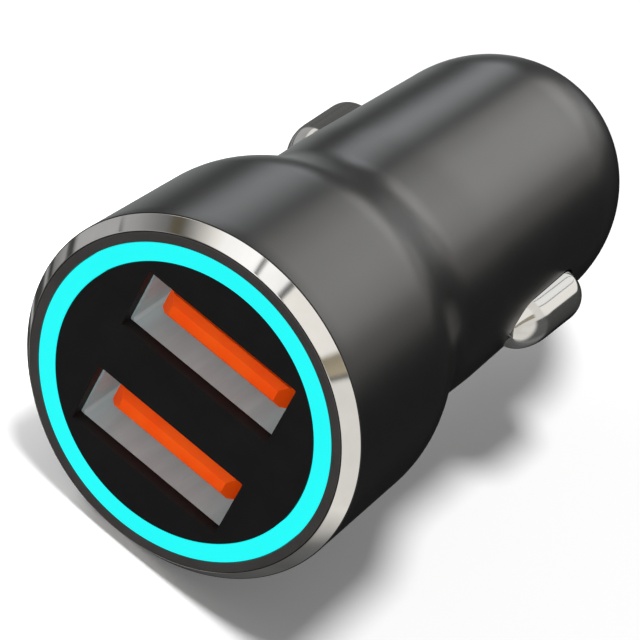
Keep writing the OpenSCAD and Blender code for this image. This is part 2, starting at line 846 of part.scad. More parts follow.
// Sprung tip with a round end, a flange that keeps it in and a spigot for its spring
module centre_tip() {
    steps = 10;
    dome = [for (i = [0:steps]) [tip_r * cos(90 * i / steps), tip_end_y - tip_r + tip_r * sin(90 * i / steps)]];
    color(bright_metal) revolve(concat(
        [[0, flange_back_y - spigot_len], [spigot_r, flange_back_y - spigot_len],
         [spigot_r, flange_back_y], [tip_flange_r, flange_back_y], [tip_flange_r, floor_y], [tip_r, floor_y]],
        dome));
}

housing();
chrome_bezel();
front_frame();
light_guide();
face_plate();
usb_shell_upper();
usb_shell_lower();
usb_tongue_upper();
usb_tongue_lower();
usb_pins_upper();
usb_pins_lower();
port_board();
leds();
main_board();
inductor_core();
inductor_winding();
input_capacitor();
output_capacitor();
converter_chip();
protocol_chip();
rectifier_diode();
input_fuse();
chip_parts();
ground_terminal_left();
ground_terminal_right();
contact_spring_left();
contact_spring_right();
side_contact_left();
side_contact_right();
positive_terminal();
tip_spring();
centre_tip();
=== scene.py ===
import math
import bpy
import bmesh
from mathutils import Matrix, Quaternion, Vector


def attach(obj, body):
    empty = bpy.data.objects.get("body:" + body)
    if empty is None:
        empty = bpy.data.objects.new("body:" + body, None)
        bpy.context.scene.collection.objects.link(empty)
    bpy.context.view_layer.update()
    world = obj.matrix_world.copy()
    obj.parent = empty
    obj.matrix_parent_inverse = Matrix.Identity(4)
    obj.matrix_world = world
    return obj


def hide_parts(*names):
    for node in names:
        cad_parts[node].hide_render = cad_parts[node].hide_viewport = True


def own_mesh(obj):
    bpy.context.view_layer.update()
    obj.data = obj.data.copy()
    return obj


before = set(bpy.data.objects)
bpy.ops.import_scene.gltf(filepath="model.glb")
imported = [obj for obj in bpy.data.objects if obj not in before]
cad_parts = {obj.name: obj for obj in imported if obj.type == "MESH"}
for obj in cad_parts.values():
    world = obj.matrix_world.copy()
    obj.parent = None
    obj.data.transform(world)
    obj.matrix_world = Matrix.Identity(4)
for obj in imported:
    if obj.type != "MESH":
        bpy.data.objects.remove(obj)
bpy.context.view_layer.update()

# A plug-in car charger with two USB-A ports. The axis runs along Y from the front face at y = 0 to the tip.
# Sizes and places are in millimetres and become metres when a mesh or a lamp is made.
MM = 0.001

# Front: bezel, rim, light ring and face plate
FACE_R = 10.301
BEZEL_H = 1.08
BEZEL_W = 0.94
BEZEL_STEP = 0.04
BEZEL_FILLETS = (0.05, 0.03)
SKIRT = 2.0
SKIRT_T = 0.35
RIM_W = 0.8
RIM_FILLET = 0.04
LIGHT_W = 1.3
LIGHT_FLANGE = 2.0
LIGHT_SKIRT_T = 0.9
LIGHT_FILLET = 0.05
DIODE_H = 0.7
DIODE_GAP = 0.3
FRAME_LEN = 9.0
PLATE_T = 1.1
PLATE_FILLET = 0.05
LIGHT_R = FACE_R + LIGHT_W
RIM_R = LIGHT_R + RIM_W
HEAD_R = RIM_R + BEZEL_W
SKIRT_R = RIM_R + SKIRT_T
REBATE_Y = BEZEL_H + SKIRT

# Ports
PORT_W = 12.8
PORT_H = 5.1
PORT_PITCH = 9.15
PORT_CORNER = 0.12
PORT_BOARD_Y = 12.3
SEAT_Y = 13.5
LEG_T = 1.1
LEG_ROOT = 0.1
LEG_SPAN = 44

# Housing
HEAD_LEN = 10.58
HEAD_TAPER = 0.34
HEAD_WALL = 0.88
HEAD_FILLET = 0.06
LEDGE_W = 0.8
NECK_LEN = 9.55
SHOULDER_PULL = 3.68
NECK_PULL = 3.82
PLUG_R = 10.37
LAND_LEN = 4.3
BARREL_LEN = 19.65
BARREL_TAPER = 0.58
BARREL_WALL = 1.25
BORE_LEAD = 0.8
NOSE_REACH = 11.63
NOSE_FALL = 10.52
NOSE_END_R = 4.6
NOSE_FLOOR = 1.8
NOSE_FILLET = 0.35
TIP_HOLE_FILLET = 0.12
HEAD_END_Y = BEZEL_H + HEAD_LEN
HEAD_END_R = HEAD_R - HEAD_TAPER
NECK_Y = HEAD_END_Y + NECK_LEN
LAND_Y = NECK_Y + LAND_LEN
NOSE_Y = NECK_Y + BARREL_LEN
BARREL_END_R = PLUG_R - BARREL_TAPER
NOSE_TURN = math.acos(1 - (BARREL_END_R - NOSE_END_R) / NOSE_FALL)
NOSE_END_Y = NOSE_Y + NOSE_REACH * math.sin(NOSE_TURN)
FLOOR_Y = NOSE_END_Y - NOSE_FLOOR

# Tip
TIP_R = 2.5
TIP_OUT = 4.1
TIP_FLANGE_R = 3.5
TIP_TRAVEL = 3.0
SLEEVE_LEN = 8.0
SPIGOT_R = 1.4
SPIGOT_LEN = 2.6
FLANGE_T = 1.0
SPIGOT_FILLET = 0.2
FLANGE_FILLET = 0.1

# Fits
FIT = 0.05
SLIDE = 0.1
SLOT_GAP = 0.14
BOARD_GAP = 0.25

# Place and directions of the photograph's camera
CAMERA_AT = (65.508, -218.659, 185.563)
CAMERA_RIGHT = Vector((0.75806, 0.51952, 0.39427))
CAMERA_DOWN = Vector((0.61714, -0.37591, -0.69125))
LENS = 247.5

# Faces round a solid of revolution, and steps along its curves
ROUND = 288
BEZEL_ROUND = 480
TIP_ROUND = 144
LEG_ROUND = 24
CURVE_STEPS = 40
CAVITY_STEPS = 12
DOME_STEPS = 16


# Geometry helpers

def mesh_piece(name, points, faces, smooth_angle=30):
    """Object from points in millimetres, with smooth shading broken at edges above the angle."""
    mesh = bpy.data.meshes.new(name)
    mesh.from_pydata([tuple(c * MM for c in p) for p in points], [], faces)
    mesh.validate()
    made = bpy.data.objects.new(name, mesh)
    bpy.context.scene.collection.objects.link(made)
    tidy_mesh(made, smooth_angle)
    return made


def tidy_mesh(piece, smooth_angle=30):
    """Faces point outwards, and shading is smooth up to the angle."""
    work = bmesh.new()
    work.from_mesh(piece.data)
    bmesh.ops.remove_doubles(work, verts=work.verts, dist=1e-7)
    bmesh.ops.recalc_face_normals(work, faces=work.faces)
    work.to_mesh(piece.data)
    work.free()
    piece.data.shade_smooth()
    piece.data.set_sharp_from_angle(angle=math.radians(smooth_angle))


def soften(outline, steps=5):
    """Outline of (r, y) or (r, y, fillet) points with each fillet turned into a short curve."""
    made = []
    count = len(outline)
    for i, corner in enumerate(outline):
        here = Vector(corner[:2])
        fillet = corner[2] if len(corner) > 2 else 0
        if fillet == 0:
            made.append(tuple(here))
            continue
        before = Vector(outline[i - 1][:2])
        after = Vector(outline[(i + 1) % count][:2])
        to_before = (before - here).normalized()
        to_after = (after - here).normalized()
        half = to_before.angle(to_after) / 2
        reach = min(fillet / math.tan(half), 0.45 * (before - here).length, 0.45 * (after - here).length)
        start = here + to_before * reach
        end = here + to_after * reach
        for k in range(steps + 1):
            t = k / steps
            made.append(tuple(start * (1 - t) ** 2 + here * 2 * t * (1 - t) + end * t ** 2))
    return made


def divide(outline, longest):
    """Outline with points added on edges above the longest length."""
    made = []
    for i, here in enumerate(outline):
        after = outline[(i + 1) % len(outline)]
        parts = max(1, math.ceil(math.dist(here, after) / longest))
        for k in range(parts):
            t = k / parts
            made.append((here[0] + (after[0] - here[0]) * t, here[1] + (after[1] - here[1]) * t))
    return made


def revolved(name, outline, around=ROUND, start=0.0, turn=360.0):
    """Solid of revolution about Y of a closed outline of (radius, y), whole or as a sector."""
    whole = turn >= 360
    columns = around if whole else around + 1
    points = []
    index = []
    for r, y in outline:
        if r < 1e-6:
            points.append((0, y, 0))
            index.append([len(points) - 1] * columns)
            continue
        row = []
        for k in range(columns):
            a = math.radians(start + turn * k / around)
            points.append((r * math.cos(a), y, r * math.sin(a)))
            row.append(len(points) - 1)
        index.append(row)
    faces = []
    for i, row in enumerate(index):
        other = index[(i + 1) % len(index)]
        for k in range(around):
            m = (k + 1) % columns
            corners = list(dict.fromkeys((row[k], other[k], other[m], row[m])))
            if len(corners) > 2:
                faces.append(corners)
    if not whole:
        faces.append([row[0] for row in index])
        faces.append([row[-1] for row in index])
    return mesh_piece(name, points, faces)


def prism(name, outline, place, reach):
    """Prism of a closed 2D outline; place turns (u, v, w) into a point, with w from reach[0] to reach[1]."""
    low = [place(u, v, reach[0]) for u, v in outline]
    high = [place(u, v, reach[1]) for u, v in outline]
    n = len(outline)
    faces = [list(range(n)), list(range(n, 2 * n))]
    faces += [[k, (k + 1) % n, n + (k + 1) % n, n + k] for k in range(n)]
    return mesh_piece(name, low + high, faces)


def combine(piece, other, operation):
    """Boolean of the piece with another, which is used up."""
    cut = piece.modifiers.new(operation.lower(), "BOOLEAN")
    cut.operation = operation
    cut.object = other
    cut.solver = "EXACT"
    apply_modifiers(piece)
    bpy.data.objects.remove(other)


def apply_modifiers(piece):
    """The piece's mesh becomes what its modifiers make of it."""
    bpy.context.view_layer.update()
    graph = bpy.context.evaluated_depsgraph_get()
    mesh = bpy.data.meshes.new_from_object(piece.evaluated_get(graph))
    piece.modifiers.clear()
    piece.data = mesh


def pill_outline(start, length, width, steps=24):
    """Closed outline of a slot with round ends, along the first coordinate."""
    r = width / 2
    made = []
    for k in range(steps + 1):
        a = math.radians(-90 + 180 * k / steps)
        made.append((start + length - r + r * math.cos(a), r * math.sin(a)))
    for k in range(steps + 1):
        a = math.radians(90 + 180 * k / steps)
        made.append((start + r + r * math.cos(a), r * math.sin(a)))
    return made


def box_outline(w, h, r, steps=4):
    """Closed outline of a rectangle with round corners, centred."""
    made = []
    for cx, cy, first in ((1, 1, 0), (-1, 1, 90), (-1, -1, 180), (1, -1, 270)):
        for k in range(steps + 1):
            a = math.radians(first + 90 * k / steps)
            made.append((cx * (w / 2 - r) + r * math.cos(a), cy * (h / 2 - r) + r * math.sin(a)))
    return made


def cubic(p, t):
    """Point at share t of a cubic curve with four control points."""
    q = [Vector(c) for c in p]
    s = 1 - t
    return q[0] * s ** 3 + q[1] * 3 * t * s ** 2 + q[2] * 3 * t * t * s + q[3] * t ** 3


def barrel_radius(y):
    return PLUG_R - BARREL_TAPER * max(0, y - LAND_Y) / (NOSE_Y - LAND_Y)


# Material helpers

def new_material(name, colour, roughness, metallic=0.0, **sockets):
    """Principled material; returns it with its node tree and shader."""
    made = bpy.data.materials.new(name)
    made.use_nodes = True
    tree = made.node_tree
    shader = tree.nodes["Principled BSDF"]
    shader.inputs["Base Color"].default_value = (*colour, 1)
    shader.inputs["Roughness"].default_value = roughness
    shader.inputs["Metallic"].default_value = metallic
    for key, value in sockets.items():
        shader.inputs[key.replace("_", " ")].default_value = value
    return made, tree, shader


def object_noise(tree, scale, detail=3.0, stretch=None):
    """Noise in the object's own coordinates, whose scale is in cells per millimetre."""
    place = tree.nodes.new("ShaderNodeTexCoord")
    noise = tree.nodes.new("ShaderNodeTexNoise")
    noise.inputs["Scale"].default_value = scale / MM
    noise.inputs["Detail"].default_value = detail
    source = place.outputs["Object"]
    if stretch:
        mapping = tree.nodes.new("ShaderNodeMapping")
        mapping.inputs["Scale"].default_value = stretch
        tree.links.new(source, mapping.inputs["Vector"])
        source = mapping.outputs["Vector"]
    tree.links.new(source, noise.inputs["Vector"])
    return noise.outputs["Fac"]


def remap(tree, value, low, high):
    """A value from 0 to 1 moved to low to high."""
    node = tree.nodes.new("ShaderNodeMapRange")
    node.inputs["To Min"].default_value = low
    node.inputs["To Max"].default_value = high
    tree.links.new(value, node.inputs["Value"])
    return node.outputs["Result"]


def tint(tree, value, dark, light):
    """Colour between two ends by a value."""
    ramp = tree.nodes.new("ShaderNodeValToRGB")
    ramp.color_ramp.elements[0].position = 0.3
    ramp.color_ramp.elements[0].color = (*dark, 1)
    ramp.color_ramp.elements[1].position = 0.7
    ramp.color_ramp.elements[1].color = (*light, 1)
    tree.links.new(value, ramp.inputs["Fac"])
    return ramp.outputs["Color"]


def add_bump(tree, shader, value, height, strength=1.0):
    """Bump of a height in millimetres."""
    bump = tree.nodes.new("ShaderNodeBump")
    bump.inputs["Strength"].default_value = strength
    bump.inputs["Distance"].default_value = height * MM
    tree.links.new(value, bump.inputs["Height"])
    tree.links.new(bump.outputs["Normal"], shader.inputs["Normal"])


def finish_of(name, dark, light, rough, metallic=0.0, grain=0.8, bump=0.002, bump_grain=6.0,
              stretch=None, **more):
    """Material with a mottled colour, a varied roughness and a fine bump."""
    made, tree, shader = new_material(name, dark, rough[0], metallic, **more)
    mottle = object_noise(tree, grain, stretch=stretch)
    tree.links.new(tint(tree, mottle, dark, light), shader.inputs["Base Color"])
    tree.links.new(remap(tree, mottle, *rough), shader.inputs["Roughness"])
    add_bump(tree, shader, object_noise(tree, bump_grain, 2.0, stretch), bump)
    return made


# Materials

def satin_black():
    """Moulded black shell with a fine spark-eroded grain."""
    return finish_of("satin_black", (0.0034, 0.0034, 0.0035), (0.0046, 0.0046, 0.0047), (0.29, 0.33),
                     grain=0.25, bump=0.0015, bump_grain=7.0)


def matte_black():
    return finish_of("matte_black", (0.0070, 0.0070, 0.0070), (0.0088, 0.0088, 0.0088), (0.52, 0.60),
                     grain=0.4, bump=0.002, bump_grain=8.0, Specular_IOR_Level=0.12)


def rim_grey():
    return finish_of("rim_grey", (0.034, 0.032, 0.031), (0.043, 0.040, 0.038), (0.45, 0.55),
                     grain=0.4, bump=0.001, bump_grain=7.0)


def polished_chrome():
    return finish_of("polished_chrome", (0.80, 0.79, 0.765), (0.86, 0.85, 0.83), (0.05, 0.10), 1.0,
                     grain=0.5, bump=0.0006, bump_grain=1.5)


def nickel_plate():
    """Bright plate with faint draw lines along the axis."""
    return finish_of("nickel_plate", (0.72, 0.71, 0.69), (0.82, 0.82, 0.80), (0.07, 0.13), 1.0,
                     grain=1.2, bump=0.001, bump_grain=3.0, stretch=(1.0, 0.05, 1.0))


def lit_cyan():
    """Translucent ring, lit from behind, with a faint random mottle in its glow."""
    made, tree, shader = new_material("lit_cyan", (0.0, 0.10, 0.10), 0.35)
    mottle = object_noise(tree, 0.12)
    glow = tint(tree, mottle, (0.007, 0.865, 0.855), (0.010, 0.895, 0.88))
    tree.links.new(glow, shader.inputs["Emission Color"])
    shader.inputs["Emission Strength"].default_value = 1.0
    return made


# Sheet steel with a painted blue tint that cancels the orange light the tongues throw on it; the steel's own
# colour is a neutral grey.
def steel_tinted_against_bounce():
    return finish_of("steel_tinted_against_bounce", (0.238, 0.292, 0.298), (0.288, 0.350, 0.356), (0.50, 0.60), 0.25,
                     grain=0.9, bump=0.001, bump_grain=4.0, stretch=(1.0, 0.12, 1.0))


def orange_plastic():
    return finish_of("orange_plastic", (1.0, 0.080, 0.0), (1.0, 0.105, 0.002), (0.45, 0.55),
                     grain=0.5, bump=0.001, bump_grain=6.0, Specular_IOR_Level=0.15)


def gold_plate():
    return finish_of("gold_plate", (0.78, 0.54, 0.20), (0.86, 0.64, 0.28), (0.16, 0.28), 1.0, grain=1.0)


def solder_mask():
    return finish_of("solder_mask", (0.008, 0.075, 0.025), (0.014, 0.11, 0.04), (0.25, 0.4), grain=0.7)


def diode_white():
    return finish_of("diode_white", (0.74, 0.80, 0.64), (0.84, 0.88, 0.76), (0.2, 0.3), grain=1.5)


def ferrite_grey():
    return finish_of("ferrite_grey", (0.028, 0.028, 0.03), (0.05, 0.05, 0.052), (0.6, 0.75),
                     grain=1.5, bump=0.004)


def copper_wire():
    return finish_of("copper_wire", (0.48, 0.16, 0.05), (0.66, 0.26, 0.10), (0.22, 0.34), 0.9, grain=1.2)


def can_aluminium():
    return finish_of("can_aluminium", (0.52, 0.53, 0.55), (0.62, 0.63, 0.65), (0.28, 0.4), 0.95, grain=0.8)


def chip_black():
    return finish_of("chip_black", (0.010, 0.010, 0.011), (0.018, 0.018, 0.02), (0.5, 0.65),
                     grain=1.5, bump=0.003)


def ceramic_beige():
    return finish_of("ceramic_beige", (0.40, 0.29, 0.14), (0.55, 0.42, 0.22), (0.4, 0.55), grain=1.6)


def stamped_brass():
    return finish_of("stamped_brass", (0.66, 0.47, 0.17), (0.76, 0.57, 0.25), (0.22, 0.36), 1.0, grain=0.9)


def spring_wire():
    return finish_of("spring_wire", (0.38, 0.38, 0.39), (0.5, 0.5, 0.51), (0.24, 0.36), 1.0, grain=1.2)


# Pieces

def nose_point(start_r, reach, turn):
    """Point (r, y) of the nose's quarter ellipse by its turn in radians."""
    return start_r - NOSE_FALL * (1 - math.cos(turn)), NOSE_Y + reach * math.sin(turn)


def make_housing():
    """One-piece moulded shell: head, shoulder, barrel and nose, with its two slots and board ribs."""
    frame_bore_r = HEAD_END_R + HEAD_TAPER * (HEAD_END_Y - FRAME_LEN) / HEAD_LEN - HEAD_WALL
    board_bore_r = LIGHT_R + 2 * FIT
    ledge_r = board_bore_r - BOARD_GAP - LEDGE_W
    bore_front_r = PLUG_R - BARREL_WALL
    bore_end_r = BARREL_END_R - BARREL_WALL
    sleeve_r = TIP_FLANGE_R + SLIDE
    sleeve_out_r = sleeve_r + BARREL_WALL
    slope = Vector((-HEAD_TAPER, HEAD_LEN)).normalized()
    curve = [(HEAD_END_R, HEAD_END_Y), Vector((HEAD_END_R, HEAD_END_Y)) + SHOULDER_PULL * slope,
             (PLUG_R, NECK_Y - NECK_PULL), (PLUG_R, NECK_Y)]
    shoulder = [tuple(cubic(curve, k / CURVE_STEPS)) for k in range(CURVE_STEPS + 1)]
    nose = [nose_point(BARREL_END_R, NOSE_REACH, NOSE_TURN * k / CURVE_STEPS) for k in range(CURVE_STEPS)]
    inner_turn = math.acos(1 - (bore_end_r - sleeve_out_r) / NOSE_FALL)
    cavity = [nose_point(bore_end_r, NOSE_REACH - BARREL_WALL, inner_turn * k / CAVITY_STEPS)
              for k in range(CAVITY_STEPS, -1, -1)]
    outline = [(HEAD_R, BEZEL_H, HEAD_FILLET), *shoulder, (PLUG_R, LAND_Y), *nose,
               (NOSE_END_R, NOSE_END_Y, NOSE_FILLET), (TIP_R + SLIDE, NOSE_END_Y, TIP_HOLE_FILLET),
               (TIP_R + SLIDE, FLOOR_Y), (sleeve_r, FLOOR_Y), (sleeve_r, FLOOR_Y - SLEEVE_LEN),
               (sleeve_out_r, FLOOR_Y - SLEEVE_LEN), *cavity, (bore_front_r, NECK_Y - BORE_LEAD),
               (ledge_r, SEAT_Y), (board_bore_r, SEAT_Y), (board_bore_r, FRAME_LEN),
               (frame_bore_r, FRAME_LEN), (frame_bore_r, REBATE_Y), (SKIRT_R + FIT, REBATE_Y),
               (SKIRT_R + FIT, BEZEL_H)]
    housing = revolved("housing_shell", divide(soften(outline), longest=1.2))
    slot = pill_outline(CONTACT_Y - SLOT_GAP, CONTACT_LEN + 2 * SLOT_GAP, CONTACT_W + 2 * SLOT_GAP)
    for side in (-1, 1):
        cutter = prism("slot_cutter", slot, lambda u, v, w: (side * w, u, v), (FLANGE_X - BOARD_GAP, HEAD_R))
        combine(housing, cutter, "DIFFERENCE")
    tidy_mesh(housing)
    return housing


def make_bezel():
    """Bright bevelled ring with its skirt."""
    inner_fillet, outer_fillet = BEZEL_FILLETS
    outline = [(RIM_R, 0, inner_fillet), (HEAD_R - BEZEL_STEP, BEZEL_H, outer_fillet), (SKIRT_R, BEZEL_H),
               (SKIRT_R, REBATE_Y - FIT), (RIM_R, REBATE_Y - FIT)]
    return revolved("bezel_ring", soften(outline), BEZEL_ROUND)


def make_front_frame():
    """Dark ring that shows as the rim and holds the light ring."""
    frame_bore_r = HEAD_END_R + HEAD_TAPER * (HEAD_END_Y - FRAME_LEN) / HEAD_LEN - HEAD_WALL - FIT
    outline = [(LIGHT_R + FIT, 0, RIM_FILLET), (RIM_R - FIT, 0, RIM_FILLET), (RIM_R - FIT, REBATE_Y - FIT),
               (frame_bore_r, REBATE_Y - FIT), (frame_bore_r, FRAME_LEN), (LIGHT_R + FIT, FRAME_LEN)]
    return revolved("rim_ring", soften(outline))


def make_light_guide():
    """Translucent ring with a thinner skirt towards the diodes."""
    light_end_y = PORT_BOARD_Y - DIODE_H - DIODE_GAP
    outline = [(FACE_R, 0, LIGHT_FILLET), (LIGHT_R, 0, LIGHT_FILLET), (LIGHT_R, LIGHT_FLANGE),
               (FACE_R + LIGHT_SKIRT_T, LIGHT_FLANGE + LIGHT_W - LIGHT_SKIRT_T),
               (FACE_R + LIGHT_SKIRT_T, light_end_y), (FACE_R, light_end_y)]
    return revolved("glow_ring", soften(outline))


def make_face_plate():
    """Black disc with two openings, standing on four curved legs."""
    plate_r = FACE_R - FIT
    disc = [(0, 0), (plate_r, 0, PLATE_FILLET), (plate_r, PLATE_T), (0, PLATE_T)]
    plate = revolved("port_face", soften(disc))
    opening = box_outline(PORT_W, PORT_H, PORT_CORNER)
    past = 1
    for up in (-1, 1):
        cutter = prism("port_cutter", opening, lambda u, v, w: (u, w, v + up * PORT_PITCH / 2),
                       (-past, PLATE_T + past))
        combine(plate, cutter, "DIFFERENCE")
    root_y = PLATE_T - LEG_ROOT
    section = [(plate_r - LEG_T, root_y), (plate_r, root_y), (plate_r, PORT_BOARD_Y),
               (plate_r - LEG_T, PORT_BOARD_Y)]
    for turn in (0, 90, 180, 270):
        leg = revolved("plate_leg", section, LEG_ROUND, turn - LEG_SPAN / 2, LEG_SPAN)
        combine(plate, leg, "UNION")
    edge = plate.modifiers.new("edge", "BEVEL")
    edge.width = PLATE_FILLET * MM
    edge.segments = 2
    edge.limit_method = "ANGLE"
    edge.angle_limit = math.radians(50)
    apply_modifiers(plate)
    tidy_mesh(plate)
    return plate


# Side contacts
CONTACT_Y = NECK_Y + 7.65
CONTACT_LEN = 9.15
CONTACT_W = 4.45
CONTACT_PROUD = 1.8
RAMP_LEN = 3.4
RAMP_STEP = 0.3
RAMP_POWER = 2.3
CONTACT_T = 0.4
EDGE_R = 2.195
HEEL_R = 2.0
FLANGE_OVER = 0.8
CONTACT_END_Y = CONTACT_Y + CONTACT_LEN
FLANGE_W = CONTACT_W + 2 * FLANGE_OVER
CROWN_X = barrel_radius(CONTACT_Y + RAMP_LEN) + CONTACT_PROUD
BORE_START_Y = NECK_Y - BORE_LEAD
BORE_SLOPE = BARREL_TAPER / (NOSE_Y - BORE_START_Y)
BORE_X = PLUG_R - BARREL_WALL - BORE_SLOPE * (CONTACT_END_Y + FLANGE_OVER - BORE_START_Y)
FLANGE_X = math.sqrt(BORE_X ** 2 - (FLANGE_W / 2) ** 2) - BOARD_GAP


def contact_height(y, z, reach):
    """Outer surface of a side contact: half-round, with a convex ramp, a level crown and a round heel."""
    root = barrel_radius(CONTACT_Y) + RAMP_STEP
    base = CROWN_X - EDGE_R
    t = min(max((y - CONTACT_Y) / RAMP_LEN, 0), 1)
    crest = root + (CROWN_X - root) * (1 - (1 - t) ** RAMP_POWER)
    into_heel = max(0, y - (CONTACT_END_Y - HEEL_R))
    crest = min(crest, CROWN_X - HEEL_R + math.sqrt(max(HEEL_R ** 2 - into_heel ** 2, 0)))
    share = z / reach if reach > 0 else 0
    return base + (crest - base) * math.sqrt(max(1 - share * share, 0))


def make_side_contact(side):
    """Stamped shoe: crown, walls and the flange that stays inside the barrel, as one sheet."""
    along, across = 96, 48
    half = CONTACT_W / 2
    points, rows, faces = [], [], []
    for i in range(along + 1):
        s = (1 - math.cos(math.pi * i / along)) / 2 * CONTACT_LEN
        y = CONTACT_Y + s
        inset = max(half - s, half - (CONTACT_LEN - s), 0)
        reach = math.sqrt(max(half ** 2 - inset ** 2, 0))
        row = []
        for j in range(across + 1):
            z = reach * math.sin(math.pi / 2 * (2 * j / across - 1))
            points.append((side * contact_height(y, z, reach), y, z))
            row.append(len(points) - 1)
        rows.append(row)
    for low, high in zip(rows, rows[1:]):
        for j in range(across):
            faces.append([low[j], low[j + 1], high[j + 1], high[j]])
    rim = [row[0] for row in rows] + [row[-1] for row in reversed(rows[1:-1])]
    centre_y = CONTACT_Y + CONTACT_LEN / 2
    foot_r, foot_middle = 0.3, 0.09
    loops = [(FLANGE_X + foot_r, 0.0), (FLANGE_X + foot_middle, foot_middle), (FLANGE_X, foot_r),
             (FLANGE_X, FLANGE_OVER)]
    previous = rim
    for x, out in loops:
        ring = []
        for index in rim:
            px, py, pz = points[index]
            core_y = min(max(py, CONTACT_Y + half), CONTACT_END_Y - half)
            direction = Vector((py - core_y, pz))
            if direction.length < 1e-6:
                direction = Vector((0, 1))
            direction.normalize()
            points.append((side * x, core_y + direction[0] * (half + out), direction[1] * (half + out)))
            ring.append(len(points) - 1)
        for k in range(len(rim)):
            m = (k + 1) % len(rim)
            faces.append([previous[k], previous[m], ring[m], ring[k]])
        previous = ring
    name = "contact_shoe_right" if side > 0 else "contact_shoe_left"
    smooth_angle = 40
    shoe = mesh_piece(name, points, faces, smooth_angle)
    sheet = shoe.modifiers.new("sheet", "SOLIDIFY")
    sheet.thickness = CONTACT_T * MM
    sheet.offset = -1
    apply_modifiers(shoe)
    tidy_mesh(shoe, smooth_angle)
    return shoe


def make_tip():
    """Sprung tip with a round end, its flange and the spigot of its spring."""
    back = FLOOR_Y - FLANGE_T
    end = NOSE_END_Y + TIP_OUT
    dome = []
    for k in range(DOME_STEPS):
        a = math.radians(90 * k / DOME_STEPS)
        dome.append((TIP_R * math.cos(a), end - TIP_R + TIP_R * math.sin(a)))
    outline = [(0, back - SPIGOT_LEN), (SPIGOT_R, back - SPIGOT_LEN, SPIGOT_FILLET), (SPIGOT_R, back),
               (TIP_FLANGE_R, back, FLANGE_FILLET), (TIP_FLANGE_R, FLOOR_Y, FLANGE_FILLET),
               (TIP_R, FLOOR_Y), *dome, (0, end)]
    return revolved("tip_pin", soften(outline), TIP_ROUND)


# Springs
SPRING_GAP = 0.25
CONTACT_WIRE = 0.4
CONTACT_TURNS = 5
CONTACT_TRAVEL = 1.6
BOSS_R = 0.7
SPRING_SEAT_X = 4.868
TIP_WIRE = 0.5
TIP_TURNS = 8
CUP_FACE_Y = 38.5
END_PITCH = 0.35
CONTACT_COIL_R = BOSS_R + SPRING_GAP + CONTACT_WIRE / 2
TIP_COIL_R = SPIGOT_R + SPRING_GAP + TIP_WIRE / 2
SPRING_Y = (CONTACT_Y + RAMP_LEN + CONTACT_END_Y - HEEL_R) / 2
SPRING_ROOM = CONTACT_COIL_R + CONTACT_WIRE / 2 + SPRING_GAP / 2 - (CONTACT_W / 2 - EDGE_R)
SPRING_ROOF_X = CROWN_X - EDGE_R + math.sqrt((EDGE_R - CONTACT_T) ** 2 - SPRING_ROOM ** 2)


def make_spring(name, radius, wire, length, turns, place, sides=12, per_turn=36):
    """Round wire wound with closed end turns; place turns (u, v, w) into a point, with w along the spring."""
    rings = turns * per_turn
    closed = 1 / turns
    points = []
    for i in range(rings + 1):
        t = i / rings
        if t < closed:
            share = END_PITCH * t
        elif t > 1 - closed:
            share = 1 - END_PITCH * (1 - t)
        else:
            share = END_PITCH * closed + (t - closed) * (1 - 2 * END_PITCH * closed) / (1 - 2 * closed)
        a = math.radians(360 * turns * t)
        for k in range(sides):
            b = math.radians(360 * k / sides)
            r = radius + wire / 2 * math.cos(b)
            w = wire / 2 + (length - wire) * share + wire / 2 * math.sin(b)
            points.append(place(r * math.cos(a), r * math.sin(a), w))
    faces = []
    for i in range(rings):
        here, after = i * sides, (i + 1) * sides
        for k in range(sides):
            m = (k + 1) % sides
            faces.append([here + k, here + m, after + m, after + k])
    faces += [list(range(sides)), list(range(rings * sides, rings * sides + sides))]
    return mesh_piece(name, points, faces, smooth_angle=50)


def make_contact_spring(side):
    """Spring behind a side contact, and the share of its length that is left when it is pressed."""
    name = "contact_coil_right" if side > 0 else "contact_coil_left"
    length = SPRING_ROOF_X - SPRING_SEAT_X
    spring = make_spring(name, CONTACT_COIL_R, CONTACT_WIRE, length, CONTACT_TURNS,
                         lambda u, v, w: (side * (SPRING_SEAT_X + w), SPRING_Y + v, -u))
    return spring, (length - CONTACT_TRAVEL) / length


def make_tip_spring():
    """Spring behind the tip, and the share of its length that is left when it is pressed."""
    length = FLOOR_Y - FLANGE_T - CUP_FACE_Y
    spring = make_spring("tip_coil", TIP_COIL_R, TIP_WIRE, length, TIP_TURNS,
                         lambda u, v, w: (u, CUP_FACE_Y + w, -v))
    return spring, (length - TIP_TRAVEL) / length


# Stage

def make_camera():
    data = bpy.data.cameras.new("camera")
    data.lens = LENS
    data.sensor_width = 36
    data.clip_start = 0.01
    data.clip_end = 20
    camera = bpy.data.objects.new("camera", data)
    up = -CAMERA_DOWN
    back = CAMERA_RIGHT.cross(up)
    turn = Matrix((CAMERA_RIGHT, up, back)).transposed().to_4x4()
    camera.matrix_world = Matrix.Translation(Vector(CAMERA_AT) * MM) @ turn
    bpy.context.scene.collection.objects.link(camera)
    bpy.context.scene.camera = camera


# Light levels. A white surface that faces up comes out near 1.
FLOOR_ALBEDO = 0.9
FLOOR_LIFT = 0.108
KEY_LEVEL = 2.65
AMBIENT = 0.16
STRIP_RADIANCE = 7.0

